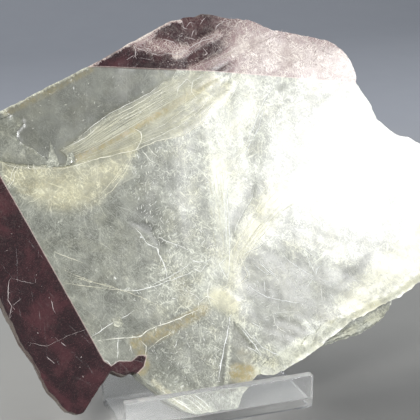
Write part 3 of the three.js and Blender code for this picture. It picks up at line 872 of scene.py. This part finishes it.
def build_creases(material):
    """Every sliver: the fibres, then the creases with their splinters, then the flecks."""
    builder = Builder()
    rng = np.random.default_rng(77)
    for i, (one_side, other_side, count, longest, widest) in enumerate(STRIAE):
        near, _ = resample(smooth_curve(one_side), 0.3)
        far, _ = resample(smooth_curve(other_side), 0.3)
        where = np.linspace(0, 1, STRIA_POINTS)
        near, far = (np.column_stack([np.interp(where, np.linspace(0, 1, len(side)), side[:, axis])
                                      for axis in (0, 1)]) for side in (near, far))
        for k in range(count):
            share = rng.uniform(0.06, 0.90)
            length = int(STRIA_POINTS * longest * rng.uniform(0.2, 1))
            start = rng.integers(0, STRIA_POINTS - length)
            line = (near + (far - near) * share)[start:start + length + 1]
            add_sliver(builder, line, widest * rng.uniform(0.45, 1), 50000 + 500 * i + k,
                       wobble=0.05, height=0.03, cream=rng.uniform(0.3, 0.9), haze=0.4)
    for i, (line, width, cream) in enumerate(CREASES):
        add_sliver(builder, line, width, 300 + 4 * i, cream=cream)
        centre, at = resample(line, SLIVER_STEP)
        for k in range(int(at[-1] / SPLINTER_EVERY)):
            spot = centre[rng.integers(0, len(centre))]
            angle = rng.uniform(0, tau)
            reach = rng.uniform(0.4, 1.4)
            tip = spot + reach * np.array([cos(angle), sin(angle)])
            bend = (spot + tip) / 2 + rng.uniform(-0.15, 0.15, 2)
            add_sliver(builder, [spot, bend, tip], width * 0.55, 3000 + 90 * i + k, wobble=0.05,
                       cream=cream)
    for i, (outline, count, longest, direction, fan) in enumerate(FLECK_FIELDS):
        shape = np.array(outline, float)
        low, high = shape.min(0), shape.max(0)
        made = 0
        while made < count:
            spot = rng.uniform(low, high)
            if inside_distance(spot[:1], spot[1:], shape)[0] < 0:
                continue
            angle = radians(direction + rng.uniform(-fan, fan))
            reach = longest * rng.uniform(0.25, 1) ** 1.5
            run = np.array([cos(angle), sin(angle)]) * reach
            bend = spot + run / 2 + rng.uniform(-0.12, 0.12, 2) * reach
            add_sliver(builder, [spot, bend, spot + run], rng.uniform(0.10, 0.22),
                       9000 + 997 * i + made, wobble=0.04, height=0.03,
                       cream=rng.uniform(0, 0.3), haze=rng.uniform(0.5, 1))
            made += 1
    return builder.finish("mica_crystal_creases", material, smooth=180, on_face=True)


# ---------------------------------------------------------------------------
# Materials
# ---------------------------------------------------------------------------

class Graph:
    """Small helpers over one material's nodes."""

    def __init__(self, name):
        self.material = bpy.data.materials.new(name)
        self.material.use_nodes = True
        self.nodes = self.material.node_tree.nodes
        self.links = self.material.node_tree.links
        self.shader = self.nodes["Principled BSDF"]

    def feed(self, socket, value):
        if isinstance(value, bpy.types.NodeSocket):
            self.links.new(value, socket)
        else:
            socket.default_value = value

    def set(self, **inputs):
        for name, value in inputs.items():
            self.feed(self.shader.inputs[name.replace("_", " ")], value)

    def attribute(self, name, output="Fac"):
        node = self.nodes.new("ShaderNodeAttribute")
        node.attribute_name = name
        return node.outputs[output]

    def math(self, kind, a, b=0.0, clamp=False):
        node = self.nodes.new("ShaderNodeMath")
        node.operation = kind
        node.use_clamp = clamp
        self.feed(node.inputs[0], a)
        self.feed(node.inputs[1], b)
        return node.outputs[0]

    def plus(self, a, b, clamp=False):
        return self.math("ADD", a, b, clamp)

    def minus(self, a, b, clamp=False):
        return self.math("SUBTRACT", a, b, clamp)

    def times(self, a, b, clamp=False):
        return self.math("MULTIPLY", a, b, clamp)

    def most(self, a, b):
        return self.math("MAXIMUM", a, b)

    def ease(self, value, low, high, to_low=0.0, to_high=1.0):
        """A smooth step of the value, from to_low at low to to_high at high."""
        node = self.nodes.new("ShaderNodeMapRange")
        node.interpolation_type = "SMOOTHSTEP"
        for socket, number in zip(node.inputs, (value, low, high, to_low, to_high)):
            self.feed(socket, number)
        return node.outputs[0]

    def mix(self, share, a, b):
        node = self.nodes.new("ShaderNodeMix")
        node.data_type = "RGBA"
        self.feed(node.inputs[0], share)
        self.feed(node.inputs[6], a)
        self.feed(node.inputs[7], b)
        return node.outputs[2]

    def stretched(self, vector, angle, scale):
        """The vector turned by an angle in degrees and scaled along each axis."""
        node = self.nodes.new("ShaderNodeMapping")
        node.vector_type = "TEXTURE"
        node.inputs["Rotation"].default_value = (0, 0, radians(angle))
        node.inputs["Scale"].default_value = scale
        self.links.new(vector, node.inputs["Vector"])
        return node.outputs[0]

    def wobbled(self, vector, scale, amount):
        """The vector pushed about by smooth noise."""
        node = self.nodes.new("ShaderNodeTexNoise")
        self.links.new(vector, node.inputs["Vector"])
        node.inputs["Scale"].default_value = scale
        push = self.nodes.new("ShaderNodeVectorMath")
        push.operation = "MULTIPLY_ADD"
        self.links.new(node.outputs["Color"], push.inputs[0])
        push.inputs[1].default_value = (amount, amount, amount)
        self.links.new(vector, push.inputs[2])
        return push.outputs[0]

    def noise(self, vector, scale, detail=4.0, rough=0.55, distortion=0.0):
        node = self.nodes.new("ShaderNodeTexNoise")
        self.links.new(vector, node.inputs["Vector"])
        node.inputs["Scale"].default_value = scale
        node.inputs["Detail"].default_value = detail
        node.inputs["Roughness"].default_value = rough
        node.inputs["Distortion"].default_value = distortion
        return node.outputs["Fac"]

    def cells(self, vector, scale):
        """Distance to the edges of random cells."""
        node = self.nodes.new("ShaderNodeTexVoronoi")
        node.feature = "DISTANCE_TO_EDGE"
        self.links.new(vector, node.inputs["Vector"])
        node.inputs["Scale"].default_value = scale
        return node.outputs["Distance"]

    def bump(self, height, distance, strength=1.0, after=None):
        node = self.nodes.new("ShaderNodeBump")
        node.inputs["Distance"].default_value = distance
        node.inputs["Strength"].default_value = strength
        self.feed(node.inputs["Height"], height)
        if after is not None:
            self.links.new(after, node.inputs["Normal"])
        return node.outputs[0]


MICA_IOR = 1.59
ACRYLIC_IOR = 1.49
GREY_GREEN = (0.126, 0.133, 0.096, 1)
DARK_GREY = (0.085, 0.087, 0.070, 1)
SILVER = (0.77, 0.79, 0.67, 1)
CREAM = (0.80, 0.78, 0.55, 1)
OCHRE = (0.37, 0.275, 0.09, 1)
OLIVE = (0.27, 0.235, 0.085, 1)
MAROON = (0.016, 0.005, 0.007, 1)
PLUM = (0.055, 0.016, 0.020, 1)
DUSKY_PINK = (0.20, 0.09, 0.09, 1)
PALE_PINK = (0.78, 0.60, 0.56, 1)
EDGE_GREY = (0.22, 0.215, 0.20, 1)
FRAYED_WHITE = (0.93, 0.95, 0.93, 1)
FRAYED_CREAM = (0.92, 0.88, 0.66, 1)
FLECK_OLIVE = (0.50, 0.50, 0.38, 1)
ZONE_TINT = (0.36, 0.24, 0.25, 1)
CLEAR = (0.985, 0.995, 1.0, 1)
DUST = (0.9, 0.93, 0.94, 1)
PAPER_NEAR = (0.295, 0.292, 0.28, 1)
PAPER_FAR = (0.295, 0.309, 0.345, 1)
# The next colour is a painted shadow, laid on the floor at the front right.
PAPER_PAINTED_SHADOW = (0.135, 0.135, 0.132, 1)
# The next colour is a painted shade, darker and bluer, laid high up on the backdrop at the left.
PAPER_PAINTED_SHADE_HIGH = (0.15, 0.182, 0.25, 1)
PAPER_GRAIN = (0.8, 0.8, 0.8, 1)


def mica_material():
    """Silvery translucent mica with purple zones, haze, stains and lamellar edges."""
    g = Graph("mica_book")
    plate = g.attribute("plate", "Vector")
    zone, haze, stain = g.attribute("zone"), g.attribute("haze"), g.attribute("stain")
    clear, cream, rim = g.attribute("clear"), g.attribute("cream"), g.attribute("rim")
    rough_ground = g.minus(1.0, clear, clamp=True)

    # Felt of fine fibres in several directions, specks between them, and scattered scratches.
    cloud = g.noise(plate, 0.09, 4, 0.6)
    fine = g.noise(plate, 1.9, 6, 0.7)
    fibres = [g.noise(g.stretched(plate, angle, (3.4, 0.8, 1)), 2.2, 2.5, 0.6, 0.5)
              for angle in (28, 75, 118, -38)]
    felt = g.ease(g.noise(plate, 3.0, 2, 0.6), 0.54, 0.68)
    for fibre in fibres:
        felt = g.most(felt, g.ease(fibre, 0.57, 0.68))
    patches = g.ease(g.noise(plate, 0.3, 3, 0.5), 0.35, 0.65, 0.35, 1.0)
    felt = g.times(felt, patches)
    bent = g.wobbled(plate, 0.12, 2.5)
    scratches = None
    for angle, scale in ((31, 0.62), (-29, 0.58), (84, 0.66), (126, 0.6)):
        lines = g.ease(g.cells(g.stretched(bent, angle, (14, 1, 1)), scale), 0.008, 0.034, 1.0, 0.0)
        some = g.ease(g.noise(g.stretched(plate, angle, (4, 1, 1)), 0.45, 2), 0.55, 0.63)
        layer = g.times(lines, some)
        scratches = layer if scratches is None else g.most(scratches, layer)
    texture = g.most(g.times(felt, 0.85), g.times(scratches, 0.6))
    texture = g.times(texture, g.plus(g.times(rough_ground, 0.6), 0.4))
    frosted = g.minus(haze, g.times(cream, 0.3))
    texture = g.times(texture, g.ease(frosted, 0.15, 0.45, 0.40, 1.0))
    texture = g.times(texture, g.ease(cream, 0.2, 1.0, 1.0, 0.45))
    blotch = g.ease(g.noise(plate, 0.24, 4, 0.6), 0.36, 0.64, -0.09, 0.11)

    # Grey-green body under silver and cream.
    whiteness = g.plus(haze, g.ease(cloud, 0.35, 0.7, -0.10, 0.14))
    whiteness = g.plus(whiteness, g.times(blotch, g.minus(1.3, clear)))
    whiteness = g.plus(g.times(whiteness, 0.85), g.times(texture, 1.15), clamp=True)
    darkness = g.plus(clear, g.ease(cloud, 0.4, 0.65, -0.2, 0.2))
    body = g.mix(g.ease(darkness, 0.2, 1.0), GREY_GREEN, DARK_GREY)
    warmth = g.plus(cream, g.ease(g.noise(plate, 0.14, 3), 0.45, 0.65, 0.0, 0.45), clamp=True)
    colour = g.mix(whiteness, body, g.mix(warmth, SILVER, CREAM))

    # Iron stain, patchy.
    patchy = g.ease(g.noise(plate, 0.7, 5, 0.6), 0.30, 0.62, 0.45, 1.15)
    patchy = g.times(g.times(stain, patchy), g.ease(texture, 0.0, 0.6, 1.0, 0.75), clamp=True)
    colour = g.mix(patchy, colour, g.mix(g.ease(fine, 0.4, 0.6), OLIVE, OCHRE))

    # Purple growth zones: dark, with plum clouds, pale where the surface is frosted.
    purple = g.mix(g.ease(g.noise(plate, 0.11, 4, 0.6, 0.5), 0.42, 0.68), MAROON, PLUM)
    dust = g.ease(g.noise(plate, 3.6, 3, 0.7), 0.5, 0.75, 0.0, 0.35)
    purple = g.mix(dust, purple, DUSKY_PINK)
    purple = g.mix(g.ease(haze, 0.10, 0.5, 0.0, 0.85), purple, DUSKY_PINK)
    frost = g.times(texture, g.ease(haze, 0.02, 0.35, 0.04, 1.0))
    frost = g.plus(frost, g.ease(haze, 0.38, 1.0, 0.0, 0.65), clamp=True)
    purple = g.mix(frost, purple, g.mix(0.5, SILVER, PALE_PINK))
    depth = g.plus(zone, g.times(g.minus(fine, 0.5), 0.25))
    share = g.ease(depth, -0.05, 0.10)
    brink = g.times(g.ease(g.math("ABSOLUTE", depth), 0.05, 0.22, 1.0, 0.0), 0.5)
    colour = g.mix(brink, g.mix(share, colour, purple), PALE_PINK)

    # Lamellar edge round the rim.
    layers = g.noise(g.stretched(plate, 0, (14, 14, 0.16)), 1.0, 4, 0.7)
    edge = g.mix(g.ease(layers, 0.35, 0.65), EDGE_GREY, SILVER)
    edge = g.mix(g.times(share, 0.75), edge, PLUM)
    colour = g.mix(g.ease(rim, 0.3, 0.7, 0.0, 0.8), colour, edge)

    # Light gets through where the mica is clear, and hardly through haze or the purple zones.
    opaque = g.plus(g.times(whiteness, 0.7), g.times(share, 0.95))
    opaque = g.plus(opaque, g.times(patchy, 0.4), clamp=True)
    see_through = g.ease(opaque, 0.15, 0.9, 0.50, 0.03)

    # Relief of the fibres and scratches, flatter where the face is clear, purple or creamy.
    ridges = g.plus(fibres[0], g.times(fibres[2], 0.8))
    ridges = g.plus(ridges, g.times(g.plus(fibres[1], fibres[3]), 0.5))
    ridges = g.plus(ridges, g.times(fine, 1.0))
    ridges = g.plus(ridges, g.times(scratches, 0.5))
    glassy = g.ease(g.minus(share, haze), 0.3, 0.95)
    relief = g.times(ridges, g.plus(g.times(rough_ground, 0.85), 0.15))
    relief = g.times(relief, g.minus(1.0, g.times(glassy, 0.8)))
    relief = g.times(relief, g.ease(cream, 0.2, 1.0, 1.0, 0.4))
    normal = g.bump(relief, 0.00007)
    normal = g.bump(g.times(layers, rim), 0.0002, 1.0, normal)

    roughness = g.minus(g.ease(whiteness, 0.0, 0.9, 0.28, 0.45), g.times(glassy, 0.2))
    g.set(Base_Color=colour, Transmission_Weight=see_through, IOR=MICA_IOR, Normal=normal,
          Roughness=roughness, Coat_Weight=g.ease(glassy, 0.0, 1.0, 1.0, 0.08),
          Coat_Roughness=0.24, Coat_IOR=1.85)
    return g.material


def crease_material():
    """Frayed sheet edges: almost white or cream, duller where haze is low, tinted in the zones."""
    g = Graph("mica_torn_edges")
    plate = g.attribute("plate", "Vector")
    cream = g.attribute("cream")
    shade = g.ease(g.noise(plate, 1.4, 4, 0.6), 0.45, 0.75, 0.0, 0.25)
    colour = g.mix(cream, FRAYED_WHITE, FRAYED_CREAM)
    colour = g.mix(shade, colour, GREY_GREEN)
    colour = g.mix(g.attribute("haze"), FLECK_OLIVE, colour)
    colour = g.mix(g.ease(g.attribute("zone"), -0.1, 0.3, 0.0, 0.6), colour, ZONE_TINT)
    g.set(Base_Color=colour, Roughness=0.35, IOR=MICA_IOR, Transmission_Weight=0.04)
    return g.material


def acrylic_material():
    """Clear acrylic with a faint haze of dust and fine wear."""
    g = Graph("clear_acrylic")
    coordinates = g.nodes.new("ShaderNodeTexCoord").outputs["Object"]
    dust = g.noise(coordinates, 900, 3, 0.6)
    g.set(Base_Color=g.mix(g.ease(dust, 0.5, 0.75, 0.0, 0.12), CLEAR, DUST),
          Roughness=g.ease(dust, 0.4, 0.8, 0.02, 0.07), IOR=ACRYLIC_IOR, Transmission_Weight=0.91)
    return g.material


def sweep_material():
    """Studio paper with painted shade: pale, bluer far behind, a painted shade, darker and bluer, high up
    at the left, and a painted shadow, greyer, at the front right.
    """
    g = Graph("paper_with_painted_shade")
    coordinates = g.nodes.new("ShaderNodeTexCoord").outputs["Object"]
    split = g.nodes.new("ShaderNodeSeparateXYZ")
    g.links.new(coordinates, split.inputs[0])
    x, y, z = split.outputs
    # Painted shadow: the floor turns darker grey at the front right.
    painted_shadow_front_right = g.times(g.ease(x, -0.05, 0.03), g.ease(y, -0.032, 0.02, 1.0, 0.0))
    # Painted shade: the backdrop turns darker and bluer high up at the left.
    painted_shade_upper_left = g.times(g.ease(z, 0.0, 0.3), g.ease(x, -0.1, 0.4, 1.0, 0.0))
    colour = g.mix(g.ease(y, 0.02, 0.25), PAPER_NEAR, PAPER_FAR)
    colour = g.mix(painted_shadow_front_right, colour, PAPER_PAINTED_SHADOW)
    colour = g.mix(painted_shade_upper_left, colour, PAPER_PAINTED_SHADE_HIGH)
    grain = g.ease(g.noise(coordinates, 60, 3), 0.3, 0.7, 0.0, 0.012)
    g.set(Base_Color=g.mix(grain, colour, PAPER_GRAIN), Roughness=0.8)
    return g.material


# ---------------------------------------------------------------------------
# The easel, with round bends and polished edges
# ---------------------------------------------------------------------------

# Lengths in millimetres between the corners of the sheet's middle line, leans from upright.
EASEL_WIDTH = (easel_high.x - easel_low.x) / MM
LIP_HEIGHT = 9.8
LEDGE_DEPTH = 19.5
BACKREST_LENGTH = 64.8
BACKREST_LEAN = radians(18)
LEG_LEAN = radians(19)
BEND_INSIDE, BEND_OUTSIDE = 0.6, 2.2       # radii of the two lower bends
CREST_INSIDE = 1.5
EDGE_POLISH = 0.3


def round_corner(before, corner, after, radius, steps=14):
    """Points of the arc that rounds a corner."""
    arrive = (corner - before).normalized()
    leave = (after - corner).normalized()
    turn = atan2(arrive.cross(leave), arrive.dot(leave))
    hand = 1 if turn > 0 else -1
    normal = Vector((-arrive.y, arrive.x)) * hand
    centre = corner - arrive * radius * tan(abs(turn) / 2) + normal * radius
    start = atan2(-normal.y, -normal.x)
    return [centre + radius * Vector((cos(start + turn * i / steps), sin(start + turn * i / steps)))
            for i in range(steps + 1)]


def parallel_path(path, distance):
    """The path moved to its left, with mitred corners and an end level with the path's."""
    def left(a, b):
        return Vector((a.y - b.y, b.x - a.x)).normalized()

    moved = [path[0] + left(path[0], path[1]) * distance]
    for before, point, after in zip(path, path[1:], path[2:]):
        n1, n2 = left(before, point), left(point, after)
        moved.append(point + (n1 + n2) * distance / (1 + n1.dot(n2)))
    run = (path[-1] - path[-2]).normalized()
    side = left(path[-2], path[-1])
    moved.append(path[-1] + side * distance - run * side.y * distance / run.y)
    return moved


def easel_profile():
    """The bent sheet from the side, as (y, z) in millimetres from the lip's foot."""
    half = SHEET / 2
    foot = Vector((half + LEDGE_DEPTH, half))
    crest = foot + BACKREST_LENGTH * Vector((sin(BACKREST_LEAN), cos(BACKREST_LEAN)))
    path = [Vector((half, LIP_HEIGHT)), Vector((half, half)), foot, crest,
            Vector((crest.x + crest.y * tan(LEG_LEAN), 0))]
    front, back = parallel_path(path, half), parallel_path(path, -half)
    outline = [front[0]]
    for i, radius in enumerate((BEND_INSIDE, BEND_INSIDE, CREST_INSIDE + SHEET)):
        outline += round_corner(*front[i:i + 3], radius)
    outline += [front[-1], back[-1]]
    for i, radius in zip((2, 1, 0), (CREST_INSIDE, BEND_OUTSIDE, BEND_OUTSIDE)):
        outline += round_corner(back[i + 2], back[i + 1], back[i], radius)
    return outline + [back[0]]


def build_easel(material):
    """The profile carried across the easel's width, with softened edges."""
    mesh = bmesh.new()
    half = EASEL_WIDTH / 2
    sides = [[mesh.verts.new((LIP + Vector((x, p.x, p.y)) * MM)) for p in easel_profile()]
             for x in (-half, half)]
    mesh.faces.new(sides[0])
    mesh.faces.new(sides[1][::-1])
    count = len(sides[0])
    for i in range(count):
        j = (i + 1) % count
        mesh.faces.new((sides[0][i], sides[1][i], sides[1][j], sides[0][j]))
    bmesh.ops.recalc_face_normals(mesh, faces=mesh.faces)
    data = bpy.data.meshes.new("display_easel_bent")
    mesh.to_mesh(data)
    mesh.free()
    data.shade_smooth()
    data.materials.append(material)
    easel = placed("display_easel_bent", data)
    easel.visible_shadow = False
    bevel = easel.modifiers.new("polished edges", "BEVEL")
    bevel.width = EDGE_POLISH * MM
    bevel.segments = 3
    bevel.limit_method = "ANGLE"
    bevel.angle_limit = radians(50)
    bevel.harden_normals = True
    return easel


# ---------------------------------------------------------------------------
# Stage, lights and camera
# ---------------------------------------------------------------------------

CAMERA_FROM_LIP = Vector((-110.5, -298.1, 161.5)) * MM
CAMERA_YAW = radians(19.8)
CAMERA_PITCH = radians(18.2)
FOCAL = 120.0          # mm, on a 36 mm sensor


def build_camera():
    data = bpy.data.cameras.new("camera")
    data.lens = FOCAL
    data.sensor_width = 36
    camera = placed("camera", data)
    camera.location = LIP + CAMERA_FROM_LIP
    camera.rotation_euler = (pi / 2 - CAMERA_PITCH, 0, -CAMERA_YAW)
    bpy.context.scene.camera = camera
    return camera


def mirrored(camera_at, u, v, reach):
    """Where the camera's view of a spot on the face is thrown to, `reach` metres on."""
    spot = Vector(to_world([(u, v, 0)])[0])
    ray = (spot - camera_at).normalized()
    return spot + (ray - 2 * ray.dot(W_AXIS) * W_AXIS) * reach


def area_light(name, location, target, size, size_y, power, colour):
    """A rectangular lamp at a place, facing the target; sizes in metres, power in watts."""
    data = bpy.data.lights.new(name, "AREA")
    data.shape = "RECTANGLE"
    data.size, data.size_y = size, size_y
    data.energy = power
    data.color = colour
    light = placed(name, data)
    light.location = location
    light.rotation_euler = (target - location).to_track_quat("-Z", "Y").to_euler()


WARM = (1, 0.99, 0.95)
SOFT_WARM = (1, 0.99, 0.97)
COOL = (0.97, 0.985, 1)
# Each lamp of the room: name, place and target from the lip (m), side (m), power (W), colour.
LAMPS = [
    ("left_near", (-0.34, -0.22, 0.3), (-0.05, 0, 0), 0.2, 1.25, WARM),
    ("left_low", (-0.5, -0.4, 0.4), (0, 0, 0), 0.4, 3.0, SOFT_WARM),
    ("right_rear", (0.32, 0.18, 0.36), (0.1, 0.13, 0), 0.25, 0.9, COOL),
    ("left_rear", (-0.3, 0.3, 0.35), (-0.03, 0.04, 0), 0.25, 0.9, COOL),
]
SOFTBOX_POWER = 1.32
SOFTBOX_REACH = 0.62   # metres from the face to the softbox


def build_lights(camera):
    """The softbox that the right of the face mirrors, and the room's lamps."""
    at = camera.location
    reach = SOFTBOX_REACH
    target = Vector(to_world([(40, 60, 0)])[0])
    # The softbox whose reflection whitens the right of the face, from u 14 to past its end.
    left, right = mirrored(at, 20, 62, reach), mirrored(at, 102, 62, reach)
    foot, top = mirrored(at, 48, 28, reach), mirrored(at, 48, 93, reach)
    centre = (left + right) / 2 + ((foot + top) / 2 - mirrored(at, 48, 62, reach))
    area_light("softbox", centre, target, (right - left).length, (top - foot).length, SOFTBOX_POWER,
               (1, 1, 1))
    for name, place, aim, side, power, colour in LAMPS:
        area_light(name, LIP + Vector(place), LIP + Vector(aim), side, side, power, colour)


def build_stage():
    """A floor that sweeps up into a backdrop."""
    depth, radius, height, half = 0.42, 0.35, 1.6, 2.5
    profile = [(-1.6, 0.0), (depth, 0.0)]
    profile += [(depth + radius * sin(a), radius * (1 - cos(a))) for a in np.linspace(0, pi / 2, 25)[1:]]
    profile.append((depth + radius, height))
    verts = [(x, y, z) for x in (-half, half) for y, z in profile]
    n = len(profile)
    faces = [(i, n + i, n + i + 1, i + 1) for i in range(n - 1)]
    data = bpy.data.meshes.new("sweep")
    data.from_pydata(verts, [], faces)
    data.shade_smooth()
    data.materials.append(sweep_material())
    placed("sweep", data)


def build_world():
    """Faint, slightly blue light from all around."""
    world = bpy.data.worlds.new("studio")
    world.use_nodes = True
    background = world.node_tree.nodes["Background"]
    background.inputs["Color"].default_value = (0.90, 0.95, 1.0, 1)
    background.inputs["Strength"].default_value = 0.32
    bpy.context.scene.world = world


# ---------------------------------------------------------------------------
# Everything together
# ---------------------------------------------------------------------------

mica = mica_material()
body = build_body(mica)
sheets = build_sheets(mica)
creases = build_creases(crease_material())
easel = build_easel(acrylic_material())
for piece in (body, sheets, creases):
    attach(piece, "root")
    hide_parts("mica_crystal")
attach(easel, "root")
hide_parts("display_easel")

build_stage()
build_world()
camera = build_camera()
build_lights(camera)
bpy.context.scene.view_settings.view_transform = "Standard"
